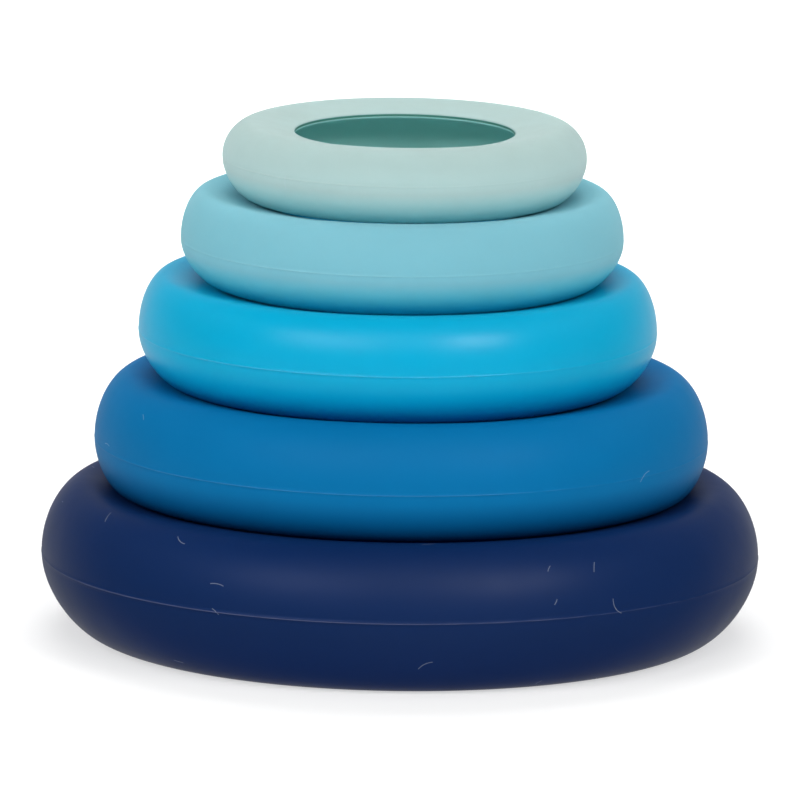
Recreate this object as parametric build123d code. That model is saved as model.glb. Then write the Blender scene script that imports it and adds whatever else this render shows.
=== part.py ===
from build123d import *
import os
from collections import namedtuple
from math import cos, radians, sin, tan

# Five soft, hollow, open-centred rings that stack on one axis. Each ring rests in the dished top of the
# ring below it. Lengths are millimetres, angles degrees; +Z is up and Z = 0 is the face it stands on.

# outer: radius at the parting line. seam: height of the parting line above the standing face.
# crest_inset, foot_inset: how far the crest and the foot's rim lie inside the outer radius.
# above: height of the crest above the parting line.
Ring = namedtuple("Ring", "name outer seam crest_inset foot_inset above")
RINGS = (
    Ring("navy_ring", outer=65.0, seam=14.2, crest_inset=8.2, foot_inset=10.6, above=12.8),
    Ring("blue_ring", outer=55.4, seam=35.3, crest_inset=6.8, foot_inset=4.4, above=11.6),
    Ring("cyan_ring", outer=46.9, seam=55.1, crest_inset=5.2, foot_inset=7.1, above=10.1),
    Ring("light_blue_ring", outer=39.9, seam=71.9, crest_inset=4.5, foot_inset=6.6, above=8.7),
    Ring("mint_ring", outer=32.9, seam=86.8, crest_inset=5.2, foot_inset=5.3, above=6.2),
)

UPPER_FULLNESS = 0.52     # handles of the side's curve above the parting line, as a share of its span
LOWER_FULLNESS = 0.44     # the same below it, where the side is more tapered
MOUTH_SHARE = 0.605       # radius of the top and bottom mouths, as a share of the outer radius
CREST_BLEND_SHARE = 0.15  # radius of the crest's rounding, as a share of the outer radius
FOOT_BAND_SHARE = 0.35    # flat width of the foot, as a share of the way from its rim to the mouth
DISH_ANGLE = 11.7         # slope of the top face, and of the underside, towards the mouth
WALL = 2.4                # moulded wall
LIP_THICKNESS = 1.0       # the wall thins to this at the edge of each mouth
LIP_ROUNDING = 0.2        # rounding of the lip's two corners, either side of its upright edge
CORNER_FULLNESS = 0.55    # handles that make a rounded corner close to circular
SEAT_GAP = 0.3            # clearance between a ring's foot and the dish that it rests in
FLASH_PROUD = 0.2         # moulding flash round the parting line
FLASH_HALF_HEIGHT = 0.3

DISH_COS = cos(radians(DISH_ANGLE))
DISH_SIN = sin(radians(DISH_ANGLE))
DISH_TAN = tan(radians(DISH_ANGLE))


def at(radius, height):
    """A point of a ring's section, in the XZ plane."""
    return Vector(radius, 0, height)


def dish_height(ring, radius):
    """Height of a ring's dished top face at a radius between its crest and its mouth."""
    blend = CREST_BLEND_SHARE * ring.outer
    dish_start = ring.outer - ring.crest_inset - blend * DISH_SIN
    return ring.seam + ring.above - blend * (1 - DISH_COS) - (dish_start - radius) * DISH_TAN


def foot_heights():
    """Height of each ring's foot: the standing face for the first, a seat in the dish below for the rest."""
    heights = [0.0]
    for lower, upper in zip(RINGS, RINGS[1:]):
        heights.append(dish_height(lower, upper.outer - upper.foot_inset) + SEAT_GAP)
    return heights


def side_curve(start, corner, end, fullness):
    """A quarter curve from start to end, whose ends run towards the corner."""
    return Bezier(start, start + (corner - start) * fullness, end + (corner - end) * fullness, end)


def lip_edges(start, first_corner, second_corner, end):
    """A lip: in along one face, round its upright edge at the mouth and out along the other face."""
    towards_start = (start - first_corner).normalized() * LIP_ROUNDING
    towards_end = (end - second_corner).normalized() * LIP_ROUNDING
    upright = (second_corner - first_corner).normalized() * LIP_ROUNDING
    first_land, second_land = first_corner + upright, second_corner - upright
    return [
        Line(start, first_corner + towards_start),
        side_curve(first_corner + towards_start, first_corner, first_land, CORNER_FULLNESS),
        Line(first_land, second_land),
        side_curve(second_land, second_corner, second_corner + towards_end, CORNER_FULLNESS),
        Line(second_corner + towards_end, end),
    ]


def outside_edges(ring, foot):
    """Outside of the wall, from the foot's rim up over the flash to the crest."""
    top = ring.seam + ring.above
    flash_low = at(ring.outer, ring.seam - FLASH_HALF_HEIGHT)
    flash_high = at(ring.outer, ring.seam + FLASH_HALF_HEIGHT)
    flash_edge = at(ring.outer + FLASH_PROUD, ring.seam)
    rim = at(ring.outer - ring.foot_inset, foot)
    crest = at(ring.outer - ring.crest_inset, top)
    return [
        side_curve(rim, at(ring.outer, foot), flash_low, LOWER_FULLNESS),
        ThreePointArc(flash_low, flash_edge, flash_high),
        side_curve(flash_high, at(ring.outer, top), crest, UPPER_FULLNESS),
    ]


def top_edges(ring):
    """Dished top: the crest's rounding, the fall to the lip, the lip's edge and the way back beneath."""
    top = ring.seam + ring.above
    crest = ring.outer - ring.crest_inset
    blend = CREST_BLEND_SHARE * ring.outer
    half_angle = radians(DISH_ANGLE / 2)
    blend_centre = at(crest, top - blend)
    blend_middle = at(-sin(half_angle), cos(half_angle))
    downwards = at(DISH_SIN, -DISH_COS)
    dish_outer = blend_centre - downwards * blend
    dish_under = dish_outer + downwards * WALL
    mouth = MOUTH_SHARE * ring.outer
    lip_top = at(mouth, dish_height(ring, mouth))
    lip_under = lip_top - at(0, LIP_THICKNESS)
    return [
        ThreePointArc(at(crest, top), blend_centre + blend_middle * blend, dish_outer),
        *lip_edges(dish_outer, lip_top, lip_under, dish_under),
        ThreePointArc(dish_under, blend_centre + blend_middle * (blend - WALL), at(crest, top - WALL)),
    ]


def inside_edges(ring, foot):
    """Inside of the wall, from under the crest down to the floor of the hollow."""
    inner = ring.outer - WALL
    ceiling = ring.seam + ring.above - WALL
    floor = foot + WALL
    crest = at(ring.outer - ring.crest_inset, ceiling)
    widest = at(inner, ring.seam)
    rim = at(ring.outer - ring.foot_inset, floor)
    return [
        side_curve(crest, at(inner, ceiling), widest, UPPER_FULLNESS),
        side_curve(widest, at(inner, floor), rim, LOWER_FULLNESS),
    ]


def underside_edges(ring, foot):
    """Floor of the hollow in to the lower lip, then the shallow dish back out to the flat foot."""
    rim = ring.outer - ring.foot_inset
    mouth = MOUTH_SHARE * ring.outer
    band = rim - FOOT_BAND_SHARE * (rim - mouth)
    lip_foot = at(mouth, foot + (band - mouth) * DISH_TAN)
    lip_top = lip_foot + at(0, LIP_THICKNESS)
    return [
        Line(at(rim, foot + WALL), at(band, foot + WALL)),
        *lip_edges(at(band, foot + WALL), lip_top, lip_foot, at(band, foot)),
        Line(at(band, foot), at(rim, foot)),
    ]


def ring_solid(ring, foot):
    """One ring, turned from its C-shaped section, in its place in the stack."""
    edges = outside_edges(ring, foot) + top_edges(ring) + inside_edges(ring, foot)
    edges += underside_edges(ring, foot)
    return revolve(make_face(edges), Axis.Z)


os.makedirs("parts", exist_ok=True)
for ring, foot in zip(RINGS, foot_heights()):
    solid = ring_solid(ring, foot)
    solid.label = ring.name
    export_step(solid, f"parts/{ring.name}.step")
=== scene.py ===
from math import cos, pi, radians, sin, tan

import bpy
from mathutils import Matrix, Vector, noise


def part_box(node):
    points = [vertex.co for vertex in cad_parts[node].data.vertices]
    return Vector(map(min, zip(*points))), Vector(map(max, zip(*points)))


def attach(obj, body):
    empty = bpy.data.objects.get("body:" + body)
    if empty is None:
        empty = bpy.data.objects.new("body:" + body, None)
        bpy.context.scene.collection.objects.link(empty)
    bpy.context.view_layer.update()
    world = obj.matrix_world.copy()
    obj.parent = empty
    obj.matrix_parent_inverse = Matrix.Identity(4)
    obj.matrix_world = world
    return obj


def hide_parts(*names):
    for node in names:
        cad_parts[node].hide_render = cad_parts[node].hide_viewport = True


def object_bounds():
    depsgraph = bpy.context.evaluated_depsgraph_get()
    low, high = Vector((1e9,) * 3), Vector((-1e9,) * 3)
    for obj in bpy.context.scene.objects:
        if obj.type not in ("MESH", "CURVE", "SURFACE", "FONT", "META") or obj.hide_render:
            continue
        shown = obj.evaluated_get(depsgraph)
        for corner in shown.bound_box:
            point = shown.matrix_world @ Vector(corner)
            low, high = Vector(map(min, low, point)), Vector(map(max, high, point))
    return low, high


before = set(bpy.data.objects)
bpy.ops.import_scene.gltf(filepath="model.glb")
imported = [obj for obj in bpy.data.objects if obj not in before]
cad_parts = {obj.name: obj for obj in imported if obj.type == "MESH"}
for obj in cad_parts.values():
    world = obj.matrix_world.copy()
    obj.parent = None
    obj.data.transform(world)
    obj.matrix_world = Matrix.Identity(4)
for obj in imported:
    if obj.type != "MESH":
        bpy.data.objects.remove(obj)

# Five soft silicone rings, stacked. Lengths are metres. Each ring is turned afresh from its section, on
# the places and sizes of its CAD node, with the irregular flash and the slight waviness of a moulding.

CAD_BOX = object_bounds()
MM = 0.001

# The section of every ring, as in the CAD model but for a softer lip and a finer flash.
UPPER_FULLNESS = 0.52
LOWER_FULLNESS = 0.44
MOUTH_SHARE = 0.605
CREST_BLEND_SHARE = 0.15
FOOT_BAND_SHARE = 0.35
DISH = radians(11.7)
WALL = 2.4 * MM
LIP_THICKNESS = 1.0 * MM
LIP_ROUNDING = 0.3 * MM
CORNER_FULLNESS = 0.55

# The flash, the thin ridge that the mould leaves round the seam, and how it varies round a ring.
FLASH_PROUD = 0.2 * MM
FLASH_HALF_HEIGHT = 0.16 * MM
FLASH_RIDGE = (0.0, 0.4, 1.0, 1.0, 0.4)     # how proud it is, from its lower edge upwards
FLASH_LEAD = radians(-115)      # it is fullest round this side, the front left
FLASH_LEAST = 0.3               # share of its height that it keeps all the way round
FLASH_EVEN = 0.15               # its strength everywhere
FLASH_FULL = 0.75               # what its fullest side adds
FLASH_SLOW = (0.3, 2.2)         # slow variation: share, and changes per radian
FLASH_QUICK = (0.35, 17)        # quick variation, likewise

# Steps of the mesh: round each ring, and along each stretch of its section.
TURNS = 384
LOWER_STEPS = 30
UPPER_STEPS = 34
CREST_STEPS = 5
INNER_CREST_STEPS = 4
INNER_STEPS = 14
DISH_STEPS = 10
LOWER_LIP_STEPS = 5
CORNER_STEPS = 4
LAND_STEPS = 3
BAND_STEPS = 3
SOLE_STEPS = 4

# What a moulding adds to the turned form.
OUT_OF_ROUND = 0.10 * MM
OVAL_TURN = 1.7          # each ring's long way is turned this much further than the last, in radians
WAVINESS = 0.05 * MM
WAVE_LENGTH = 22 * MM
WAVE_SHIFT = 7.3         # each ring's waves lie this many wavelengths further along the noise
PAINTED_BOUNCE_SHARE = 0.8          # share of the height from foot to seam that gets painted bounce light from the ring below

# Lint: short fibres on the skin.
LINT_SPACING = 12 * MM
LINT_HALF_LENGTHS = (0.5 * MM, 1.7 * MM)
LINT_HALF_WIDTH = 0.09 * MM
LINT_BEND = 220          # sideways bend of a fibre, per metre of length squared
LINT_OPACITY = 0.26


def srgb(red, green, blue):
    """A colour given in 0 to 255 display values, as the linear values that shaders use."""
    def linear(value):
        value /= 255
        return value / 12.92 if value <= 0.04045 else ((value + 0.055) / 1.055) ** 2.4
    return (linear(red), linear(green), linear(blue), 1.0)


LINT_COLOUR = srgb(190, 200, 214)
CLOUD_DEPTH = 0.035      # how much lighter and darker the large clouds in the silicone are
MOTTLE_SHARE = 0.35      # strength of the fine mottling
MOTTLE_SHADE = 0.97      # brightness of its dark spots
DUST_LEAST = 0.55        # share of the dust that the barest patches keep
DUST_ROUGHNESS = 0.8     # roughness that full dust adds
UNEVEN = 0.04            # how far the roughness strays
PEEL_DEPTH = 0.09 * MM   # height of the soft unevenness
GRAIN_DEPTH = 0.03 * MM  # height of the fine grain
LIGHT_REACH = 2.0 * MM   # how far light spreads under the skin
SILICONE_IOR = 1.41


# ---------------------------------------------------------------- shape

def measure(node):
    """A ring's leading sizes, read from its CAD node: outer radius, seam, foot, top, crest and rim."""
    points = [v.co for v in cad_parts[node].data.vertices]
    radii = [(p.x * p.x + p.y * p.y) ** 0.5 for p in points]
    low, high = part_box(node)
    widest = max(range(len(points)), key=radii.__getitem__)
    level = 0.01 * MM
    return {
        "outer": radii[widest] - FLASH_PROUD,
        "seam": points[widest].z,
        "foot": low.z,
        "top": high.z,
        "crest": max(r for r, p in zip(radii, points) if p.z > high.z - level),
        "rim": max(r for r, p in zip(radii, points) if p.z < low.z + level),
    }


def bezier(start, corner, end, fullness, steps):
    """Points of a quarter curve whose ends run towards the corner, without its last point."""
    start, corner, end = Vector(start), Vector(corner), Vector(end)
    first = start.lerp(corner, fullness)
    second = end.lerp(corner, fullness)
    points = []
    for i in range(steps):
        t = i / steps
        s = 1 - t
        points.append(start * s**3 + first * 3 * s * s * t + second * 3 * s * t * t + end * t**3)
    return points


def arc(centre, radius, start, end, steps):
    """Points of an arc between two angles, without its last point."""
    angles = [start + (end - start) * i / steps for i in range(steps)]
    return [Vector(centre) + radius * Vector((cos(a), sin(a))) for a in angles]


def line(start, end, steps):
    """Points of a straight stretch, without its last point."""
    return [Vector(start).lerp(Vector(end), i / steps) for i in range(steps)]


def lip(start, first_corner, second_corner, end, steps):
    """A lip in three runs of points: in along one face and round the corner, down its upright edge, and
    round the second corner and out along the other face."""
    first_back = first_corner + (start - first_corner).normalized() * LIP_ROUNDING
    second_on = second_corner + (end - second_corner).normalized() * LIP_ROUNDING
    upright = (second_corner - first_corner).normalized() * LIP_ROUNDING
    first_land, second_land = first_corner + upright, second_corner - upright
    first_round = bezier(first_back, first_corner, first_land, CORNER_FULLNESS, CORNER_STEPS)
    second_round = bezier(second_land, second_corner, second_on, CORNER_FULLNESS, CORNER_STEPS)
    way_in = line(start, first_back, steps) + first_round
    way_out = second_round + line(second_on, end, steps)
    return way_in, line(first_land, second_land, LAND_STEPS), way_out


def section(ring):
    """A ring's closed section as (point, flash, edge, inside), each point a radius and a height and
    each mark from 0 to 1."""
    outer, seam, foot, top = ring["outer"], ring["seam"], ring["foot"], ring["top"]
    crest, rim = ring["crest"], ring["rim"]
    mouth = MOUTH_SHARE * outer
    blend = CREST_BLEND_SHARE * outer
    lip_height = Vector((0, LIP_THICKNESS))
    points = []

    def add(new, flash=0.0, edge=0.0, inside=0.0):
        points.extend((p, flash, edge, inside) for p in new)

    # Outside: the foot's rim, the tapered lower side, the flash, the fuller upper side, the crest.
    flash_low = Vector((outer, seam - FLASH_HALF_HEIGHT))
    flash_high = Vector((outer, seam + FLASH_HALF_HEIGHT))
    add(bezier((rim, foot), (outer, foot), flash_low, LOWER_FULLNESS, LOWER_STEPS))
    for share, point in zip(FLASH_RIDGE, line(flash_low, flash_high, len(FLASH_RIDGE))):
        add([point], flash=share)
    add(bezier(flash_high, (outer, top), (crest, top), UPPER_FULLNESS, UPPER_STEPS))

    # Dished top, down to the lip, round its edge and back beneath to the crest.
    centre = Vector((crest, top - blend))
    down = Vector((sin(DISH), -cos(DISH)))
    dish_outer = centre - down * blend
    lip_top = Vector((mouth, dish_outer.y - (dish_outer.x - mouth) * tan(DISH)))
    under = dish_outer + down * WALL
    quarter = pi / 2
    add(arc(centre, blend, quarter, quarter + DISH, CREST_STEPS))
    dish, edge, beneath = lip(dish_outer, lip_top, lip_top - lip_height, under, DISH_STEPS)
    add(dish)
    add(edge, edge=1.0)
    inner_crest = arc(centre, blend - WALL, quarter + DISH, quarter, INNER_CREST_STEPS)
    add(beneath + inner_crest, inside=1.0)

    # Inside of the wall, the floor of the hollow, the lower lip and the way back to the foot.
    inner, ceiling, floor_level = outer - WALL, top - WALL, foot + WALL
    upper_wall = bezier((crest, ceiling), (inner, ceiling), (inner, seam), UPPER_FULLNESS, INNER_STEPS)
    turn_in = (inner, floor_level)
    lower_wall = bezier((inner, seam), turn_in, (rim, floor_level), LOWER_FULLNESS, INNER_STEPS)
    band = rim - FOOT_BAND_SHARE * (rim - mouth)
    add(upper_wall + lower_wall + line((rim, floor_level), (band, floor_level), BAND_STEPS), inside=1.0)
    low_lip = Vector((mouth, foot + (band - mouth) * tan(DISH)))
    band_top, band_foot = Vector((band, floor_level)), Vector((band, foot))
    above, edge, sole = lip(band_top, low_lip + lip_height, low_lip, band_foot, LOWER_LIP_STEPS)
    add(above, inside=1.0)
    add(edge, edge=1.0)
    add(sole + line(band_foot, (rim, foot), SOLE_STEPS))
    return points


def flash_strength(angle, seed):
    """How full the flash is at one place round a ring, from nothing to 1: most at the front left."""
    lead = max(0.0, cos(angle - FLASH_LEAD)) ** 3
    strength = FLASH_EVEN + FLASH_FULL * lead
    for (share, pace), shift in ((FLASH_SLOW, 0), (FLASH_QUICK, 5)):
        strength += share * noise.noise(Vector((pace * cos(angle), pace * sin(angle), seed + shift)))
    return min(1.0, max(0.0, strength))


def unrolled(outline, outer):
    """The skin laid flat, in metres: distance round the ring and along its section, face by face."""
    points = [point for point, *marks in outline]
    lengths = [0.0]
    for here, there in zip(points, points[1:] + points[:1]):
        lengths.append(lengths[-1] + (there - here).length)
    step = 2 * pi * outer / TURNS
    places = []
    for turn in range(TURNS):
        left, right = turn * step, (turn + 1) * step
        for low, high in zip(lengths, lengths[1:]):
            places += (left, low, right, low, right, high, left, high)
    return places


def turned_ring(name, ring, seed, fullness, aside):
    """A ring's mesh: its section carried round the axis, a little out of round and softly wavy. Its
    flash has the given fullness, and it sits aside from the shared axis by the given distance."""
    outline = section(ring)
    count = len(outline)
    long_way = OVAL_TURN * seed
    middle = Vector(((ring["outer"] + ring["crest"]) / 2 - WALL, ring["seam"]))
    # Painted bounce light from the ring below, marked "low": full at the foot, gone this far up.
    painted_bounce_reach = PAINTED_BOUNCE_SHARE * (ring["seam"] - ring["foot"])
    verts, flash_marks, edge_marks, inside_marks, painted_bounce_marks = [], [], [], [], []
    for turn in range(TURNS):
        angle = 2 * pi * turn / TURNS
        across, along = cos(angle), sin(angle)
        strength = fullness * flash_strength(angle, seed)
        oval = OUT_OF_ROUND * cos(2 * (angle - long_way))
        for point, flash, edge, inside in outline:
            place = Vector((point.x * across, point.x * along, point.y))
            wave = WAVINESS * noise.noise(place / WAVE_LENGTH + Vector((0, 0, WAVE_SHIFT * seed)))
            away = (point - middle).normalized()
            proud = FLASH_PROUD * flash * max(strength, fullness * FLASH_LEAST)
            radius = point.x + oval + wave * away.x + proud
            height = point.y if point.y < ring["foot"] + WALL else point.y + wave * away.y
            verts.append((radius * across + aside, radius * along, height))
            flash_marks.append(flash * strength)
            edge_marks.append(edge)
            inside_marks.append(inside)
            painted_bounce_marks.append(max(0.0, 1 - (point.y - ring["foot"]) / painted_bounce_reach))
    faces = []
    for turn in range(TURNS):
        here, there = turn * count, (turn + 1) % TURNS * count
        for i in range(count):
            j = (i + 1) % count
            faces.append((here + i, there + i, there + j, here + j))
    mesh = bpy.data.meshes.new(name)
    mesh.from_pydata(verts, [], faces)
    marks = {"flash": flash_marks, "edge": edge_marks, "inside": inside_marks, "low": painted_bounce_marks}
    for label, values in marks.items():
        mesh.attributes.new(label, "FLOAT", "POINT").data.foreach_set("value", values)
    mesh.uv_layers.new(name="unrolled").data.foreach_set("uv", unrolled(outline, ring["outer"]))
    mesh.shade_smooth()
    mesh.update()
    piece = bpy.data.objects.new(name, mesh)
    bpy.context.scene.collection.objects.link(piece)
    return piece


# ---------------------------------------------------------------- materials

class Nodes:
    """A short way to write the nodes of a material or a world."""

    def __init__(self, owner):
        owner.use_nodes = True
        self.tree = owner.node_tree

    def add(self, kind, inputs=None, **settings):
        node = self.tree.nodes.new(kind)
        for key, value in settings.items():
            setattr(node, key, value)
        for key, value in (inputs or {}).items():
            self.feed(node.inputs[key], value)
        return node

    def feed(self, socket, value):
        """Link a socket to another one's output, or set it to a plain value."""
        if isinstance(value, bpy.types.NodeSocket):
            self.tree.links.new(value, socket)
        else:
            socket.default_value = value

    def fill(self, node_name, inputs):
        """Feed the inputs of a node that the tree began with."""
        for key, value in inputs.items():
            self.feed(self.tree.nodes[node_name].inputs[key], value)

    def noise(self, place, scale, detail=2.0, roughness=0.5):
        """Cloudy noise, with a scale in patches per metre."""
        node = self.add("ShaderNodeTexNoise", {"Vector": place, "Scale": scale, "Detail": detail,
                                               "Roughness": roughness})
        return node.outputs["Fac"]

    def ranged(self, value, low, high, to_low=0.0, to_high=1.0):
        """A value carried from one range to another, and held within it."""
        node = self.add("ShaderNodeMapRange", {"Value": value, "From Min": low, "From Max": high,
                                               "To Min": to_low, "To Max": to_high})
        return node.outputs["Result"]

    def maths(self, operation, first, second):
        node = self.add("ShaderNodeMath", operation=operation)
        self.feed(node.inputs[0], first)
        self.feed(node.inputs[1], second)
        return node.outputs[0]

    def mix(self, factor, first, second):
        node = self.add("ShaderNodeMix", data_type="RGBA")
        self.feed(node.inputs["Factor"], factor)
        self.feed(node.inputs[6], first)
        self.feed(node.inputs[7], second)
        return node.outputs[2]

    def attribute(self, name):
        return self.add("ShaderNodeAttribute", attribute_name=name).outputs["Fac"]

    def size(self, value):
        return self.maths("ABSOLUTE", value, 0.0)


def shade(colour, factor):
    """A colour made darker or lighter by a factor."""
    return tuple(min(1.0, c * factor) for c in colour[:3]) + (1.0,)


def grey(level):
    """A grey of a linear level, with 1 as white."""
    return (level, level, level, 1)


def lint(n, share):
    """Short bent fibres lying on the skin, one in a share of the cells: 1 on a fibre, 0 elsewhere."""
    skin = n.add("ShaderNodeUVMap", uv_map="unrolled").outputs["UV"]
    cells = n.add("ShaderNodeTexVoronoi", {"Vector": skin, "Scale": 1 / LINT_SPACING},
                  voronoi_dimensions="2D")
    offset = n.add("ShaderNodeVectorMath", {0: skin, 1: cells.outputs["Position"]}, operation="SUBTRACT")
    chance = n.add("ShaderNodeSeparateColor", {"Color": cells.outputs["Color"]}).outputs
    turned = n.add("ShaderNodeVectorRotate", {"Vector": offset.outputs["Vector"],
                                              "Angle": n.maths("MULTIPLY", chance["Green"], 2 * pi)},
                   rotation_type="Z_AXIS")
    fibre = n.add("ShaderNodeSeparateXYZ", {"Vector": turned.outputs["Vector"]}).outputs
    bend = n.ranged(chance["Blue"], 0, 1, -LINT_BEND, LINT_BEND)
    sideways = n.maths("MULTIPLY", n.maths("MULTIPLY", fibre["X"], fibre["X"]), bend)
    across = n.size(n.maths("ADD", fibre["Y"], sideways))
    thin = n.ranged(across, LINT_HALF_WIDTH, LINT_HALF_WIDTH / 2)
    short = n.maths("LESS_THAN", n.size(fibre["X"]), n.ranged(chance["Blue"], 0, 1, *LINT_HALF_LENGTHS))
    chosen = n.maths("GREATER_THAN", chance["Red"], 1 - share)
    return n.maths("MULTIPLY", n.maths("MULTIPLY", thin, short), chosen)


def silicone_colour(n, place, dust_and_top_shade, finish):
    """The colour of a ring: faint mottling, what lies on each part of it, and the painted light and shade on
    some parts.
    """
    body = finish["body"]
    clouds = n.ranged(n.noise(place, 24, 3), 0.3, 0.7)
    mottle = n.ranged(n.noise(place, 260, 4, 0.6), 0.35, 0.65)
    colour = n.mix(clouds, shade(body, 1 - CLOUD_DEPTH), shade(body, 1 + CLOUD_DEPTH))
    colour = n.mix(n.maths("MULTIPLY", mottle, MOTTLE_SHARE), colour, shade(body, MOTTLE_SHADE))

    # Painted light: bounce light from the ring below low on the outside, a tint of bounced light inside the
    # hollow, and painted shade on the upright edge of the lips.
    inside = n.attribute("inside")
    colour = n.mix(n.attribute("low"), colour, finish["low"])
    colour = n.mix(inside, colour, finish["painted_hollow_light"])
    colour = n.mix(n.attribute("edge"), colour, finish["edge"])
    # Dust on what faces up; on the mint ring its darker grey is painted shade on the top.
    colour = n.mix(dust_and_top_shade, colour, finish["bloom"])

    fibres = n.maths("MULTIPLY", lint(n, finish["lint_share"]), n.maths("SUBTRACT", 1.0, inside))
    colour = n.mix(n.maths("MULTIPLY", fibres, LINT_OPACITY), colour, LINT_COLOUR)

    # The flash, where it is full, is thin enough to be paler.
    paler = n.maths("MULTIPLY", n.attribute("flash"), finish["flash"])
    return n.mix(paler, colour, finish["bloom"])


def silicone(name, finish):
    """Soft moulded silicone, matt and a little uneven, with dust on what faces up; where the dust colour is
    darker, as on the mint ring, it is painted shade on the top.
    In the hollow a painted glow stands for light that comes through the wall. Returns the material."""
    material = bpy.data.materials.new(name)
    n = Nodes(material)
    place = n.add("ShaderNodeTexCoord").outputs["Object"]

    # Silicone holds fine dust, most on faces that look up. Where the dust colour is darker than the silicone,
    # as on the mint ring, the same mask paints shade on the top.
    facing = n.add("ShaderNodeSeparateXYZ", {"Vector": n.add("ShaderNodeNewGeometry").outputs["Normal"]})
    upward = n.ranged(facing.outputs["Z"], 0.1, 0.95)
    patches = n.ranged(n.noise(place, 70, 4, 0.65), 0.3, 0.75, DUST_LEAST, 1.0)
    dust_and_top_shade = n.maths("MULTIPLY", n.maths("MULTIPLY", upward, patches), finish["dust"])

    # The skin is smoother in places where it has been handled, and rougher under dust.
    roughness = finish["roughness"]
    handled = n.ranged(n.noise(place, 38, 3, 0.6), 0.35, 0.7, roughness - UNEVEN, roughness + UNEVEN)
    peel = n.add("ShaderNodeBump", {"Height": n.noise(place, 170, 2), "Strength": 0.25,
                                    "Distance": PEEL_DEPTH})
    grain = n.add("ShaderNodeBump", {"Height": n.noise(place, 2200, 3, 0.6), "Strength": 0.22,
                                     "Distance": GRAIN_DEPTH, "Normal": peel.outputs["Normal"]})
    n.fill("Principled BSDF", {
        "Base Color": silicone_colour(n, place, dust_and_top_shade, finish),
        "Roughness": n.maths("ADD", handled, n.maths("MULTIPLY", dust_and_top_shade, DUST_ROUGHNESS)),
        "Normal": grain.outputs["Normal"],
        "IOR": SILICONE_IOR,
        "Specular IOR Level": finish["gloss"],
        "Subsurface Weight": finish["softness"],
        "Subsurface Radius": (1.0, 1.0, 1.0),
        # The hollow's glow is painted light, standing for light that comes through the wall.
        "Subsurface Scale": LIGHT_REACH,
        "Emission Color": finish["painted_hollow_light"],
        "Emission Strength": n.maths("MULTIPLY", n.attribute("inside"), finish["glow"]),
    })
    return material


def table_material():
    """A white light table: matt, very slightly uneven, with a glow of its own that keeps shadows faint."""
    material = bpy.data.materials.new("white_table")
    n = Nodes(material)
    place = n.add("ShaderNodeTexCoord").outputs["Object"]
    tone = n.ranged(n.noise(place, 3, 2), 0.3, 0.7)
    n.fill("Principled BSDF", {
        "Base Color": n.mix(tone, grey(0.43), grey(0.46)),
        "Roughness": 0.75,
        "Specular IOR Level": 0.1,
        "Emission Color": grey(1),
        "Emission Strength": TABLE_GLOW,
    })
    return material


# ---------------------------------------------------------------- the rings

# How full each ring's flash is, and how far the ring sits to the right of the shared axis.
SHAPES = {
    "navy_ring": (1.0, 0),
    "blue_ring": (0.7, 0),
    "cyan_ring": (0.9, -0.85 * MM),
    "light_blue_ring": (0.45, -0.25 * MM),
    "mint_ring": (0.25, 0),
}

# For each ring: colours of the silicone, of the dust on it (on the mint ring a darker grey that also paints
# shade on the top), of the painted bounce light on its low part, of the painted bounced light in its hollow
# and of the painted shade on its lips' edges, then the strength of the hollow's painted glow, and the shares
# of dust, lint and paler flash, the gloss, the roughness, and the share of light that spreads under the skin.
FINISHES = {
    "navy_ring": dict(
        body=srgb(6, 35, 80), bloom=srgb(92, 98, 130), low=srgb(5, 35, 86), painted_hollow_light=srgb(4, 34, 90),
        edge=srgb(3, 24, 60), glow=0.02, dust=0.01, lint_share=0.4, flash=0.60,
        gloss=0.20, roughness=0.45, softness=0.05),
    "blue_ring": dict(
        body=srgb(0, 103, 156), bloom=srgb(96, 150, 190), low=srgb(0, 62, 114), painted_hollow_light=srgb(0, 100, 160),
        edge=srgb(0, 66, 110), glow=0.02, dust=0.01, lint_share=0.08, flash=0.33,
        gloss=0.08, roughness=0.50, softness=0.10),
    "cyan_ring": dict(
        body=srgb(0, 159, 198), bloom=srgb(120, 200, 225), low=srgb(0, 150, 208), painted_hollow_light=srgb(0, 160, 205),
        edge=srgb(0, 104, 140), glow=0.02, dust=0.01, lint_share=0.05, flash=0.27,
        gloss=0.24, roughness=0.34, softness=0.25),
    "light_blue_ring": dict(
        body=srgb(117, 178, 192), bloom=srgb(160, 186, 190), low=srgb(0, 200, 222), painted_hollow_light=srgb(60, 176, 206),
        edge=srgb(40, 116, 136), glow=0.03, dust=0.10, lint_share=0.05, flash=0.30,
        gloss=0.10, roughness=0.50, softness=0.40),
    "mint_ring": dict(
        body=srgb(166, 193, 192), bloom=srgb(140, 140, 128), low=srgb(160, 224, 228),
        painted_hollow_light=srgb(152, 208, 204), edge=srgb(66, 128, 116), glow=0.055, dust=0.28, lint_share=0.04, flash=0.20,
        gloss=0.10, roughness=0.50, softness=0.50),
}

for index, (node, finish) in enumerate(FINISHES.items()):
    label = node.removesuffix("_ring")
    piece = turned_ring(label + "_moulding", measure(node), index + 1, *SHAPES[node])
    piece.data.materials.append(silicone(label + "_silicone", finish))
    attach(piece, label)
    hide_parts(node)


# ---------------------------------------------------------------- floor, light and camera

TABLE_GLOW = 0.56
TABLE_RADIUS = 6.0
bpy.ops.mesh.primitive_circle_add(vertices=96, radius=TABLE_RADIUS, fill_type="NGON", location=(0, 0, 0))
floor = bpy.context.object
floor.name = "floor"
floor.data.materials.append(table_material())
floor.visible_glossy = False

low_corner, high_corner = (Vector(corner) for corner in CAD_BOX)
RADIUS = (high_corner.x - low_corner.x) / 2 - FLASH_PROUD
HEIGHT = high_corner.z - low_corner.z


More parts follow.
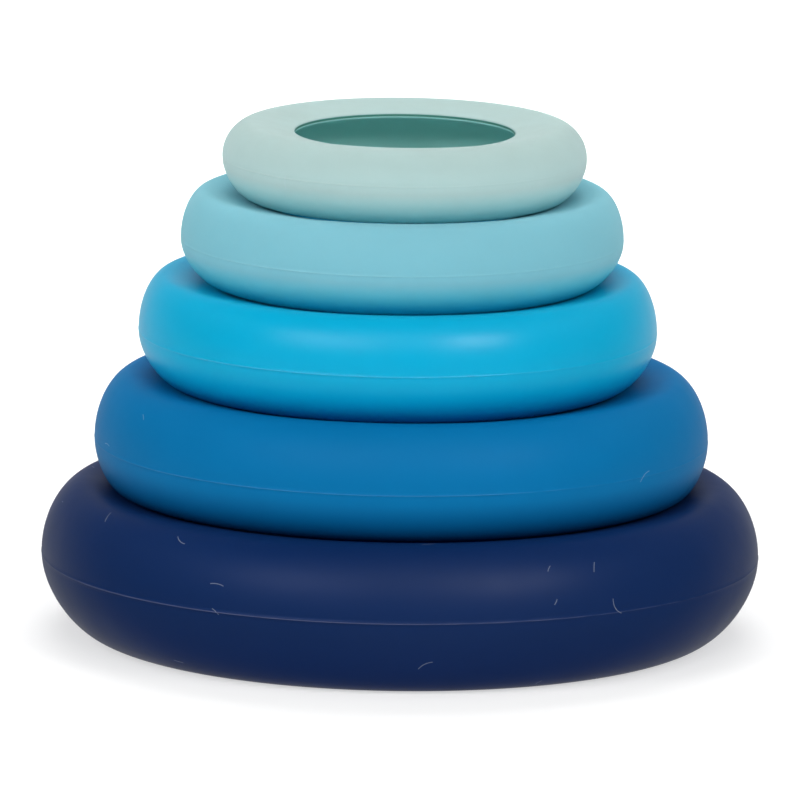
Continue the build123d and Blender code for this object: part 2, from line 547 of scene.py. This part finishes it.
def soft_light(name, place, aim, width, height, power):
    """A rectangular softbox at a place, turned to face its aim."""
    data = bpy.data.lights.new(name, "AREA")
    data.shape = "RECTANGLE"
    data.size = width
    data.size_y = height
    data.energy = power
    light = bpy.data.objects.new(name, data)
    light.matrix_world = looking(Vector(place), Vector(aim), 0)
    bpy.context.scene.collection.objects.link(light)
    return light


def looking(place, aim, roll):
    """The matrix of something at a place that looks at its aim, turned about its line of sight."""
    turn = (aim - place).to_track_quat("-Z", "Y").to_matrix().to_4x4()
    return Matrix.Translation(place) @ turn @ Matrix.Rotation(roll, 4, "Z")


def around(azimuth, rise, distance):
    """A place at a distance from the stack's middle. Azimuth 0 is the front, 90 the right; degrees."""
    azimuth, rise = radians(azimuth), radians(rise)
    level = cos(rise)
    return STACK_MIDDLE + distance * Vector((sin(azimuth) * level, -cos(azimuth) * level, sin(rise)))


# The softboxes and fills light the rings and stay out of reflections. Two more boxes, seen only in
# reflections, make the paired highlights on the rings' shoulders: a small one and a wide, weaker one.
# Each has a name, a place, a width, a height and its watts.
STACK_MIDDLE = Vector((0, 0, HEIGHT / 2))
LIT = (
    ("key_right", around(45, 31, 1.8), 0.7, 0.5, 9.8),
    ("key_left", around(-45, 31, 1.8), 0.7, 0.5, 11),
    ("rim_right", around(140, 30, 1.6), 0.5, 0.4, 1.1),
    ("rim_left", around(-140, 30, 1.6), 0.5, 0.4, 0.7),
    ("rim_back", around(180, 30, 1.6), 0.5, 0.4, 2.3),
    ("fill_front", around(0, 38, 2.0), 1.2, 1.0, 15),
    ("fill_left", around(-100, 30, 2.0), 1.2, 1.0, 5.7),
    ("fill_right", around(100, 30, 2.0), 1.2, 1.0, 4.2),
    ("fill_high", around(60, 60, 2.0), 1.2, 1.0, 2.4),
)
for name, place, width, height, power in LIT:
    soft_light(name, place, STACK_MIDDLE, width, height, power).visible_glossy = False
REFLECTED = (
    ("sheen_right", around(37, 31, 1.8), 0.75, 0.4, 13),
    ("sheen_left", around(-35, 31, 1.8), 1.2, 0.5, 9),
)
for name, place, width, height, power in REFLECTED:
    soft_light(name, place, STACK_MIDDLE, width, height, power).visible_diffuse = False

# Over the table behind the stack, a light with a narrowed spread keeps the background white.
backdrop = soft_light("backdrop", Vector((0, 1.3, 1.6)), Vector((0, 1.2, 0)), 1.6, 1.2, 34)
backdrop.data.spread = radians(72)
backdrop.visible_glossy = False

# The room: even and dim as light; in reflections dark in front, brighter behind and brightest low down,
# where the table is.
WORLD_LIGHT = 0.14
WORLD_GLOSS_FRONT = 0.03
WORLD_GLOSS_BACK = 0.90
WORLD_GLOSS_HIGH = 0.45         # share of its brightness that the room keeps above the table
world = bpy.data.worlds.new("studio")
room = Nodes(world)
direction = room.add("ShaderNodeTexCoord").outputs["Generated"]
heading = room.add("ShaderNodeSeparateXYZ", {"Vector": direction}).outputs
depth = room.ranged(heading["Y"], 0.3, 1.0, WORLD_GLOSS_FRONT, WORLD_GLOSS_BACK)
lowness = room.ranged(heading["Z"], -0.15, 0.20, 1.0, WORLD_GLOSS_HIGH)
reflected = room.add("ShaderNodeLightPath").outputs["Is Glossy Ray"]
gloss = room.maths("MULTIPLY", depth, lowness)
level = room.add("ShaderNodeMix", {"Factor": reflected, "A": WORLD_LIGHT, "B": gloss})
room.fill("Background", {"Color": grey(1), "Strength": level.outputs["Result"]})
bpy.context.scene.world = world
bpy.context.scene.view_settings.view_transform = "Standard"

# A long lens from well back, a little above, with the slight lean of a hand-held frame.
CAMERA_DISTANCE = 36.7 * RADIUS
CAMERA_RISE = radians(10.67)
CAMERA_LEAN = radians(0.693)
VIEW_WIDTH = 2.2253 * RADIUS     # width that the frame covers at the stack
SENSOR_WIDTH = 36                # millimetres, as the lens
FAR_CLIP = 50
aim = Vector((-0.0047 * RADIUS, 0, 0.4536 * HEIGHT))
place = aim + CAMERA_DISTANCE * Vector((0, -cos(CAMERA_RISE), sin(CAMERA_RISE)))
camera_data = bpy.data.cameras.new("camera")
camera_data.sensor_width = SENSOR_WIDTH
camera_data.lens = SENSOR_WIDTH * CAMERA_DISTANCE / VIEW_WIDTH
camera_data.clip_end = FAR_CLIP
camera = bpy.data.objects.new("camera", camera_data)
camera.matrix_world = looking(place, aim, CAMERA_LEAN)
bpy.context.scene.collection.objects.link(camera)
bpy.context.scene.camera = camera
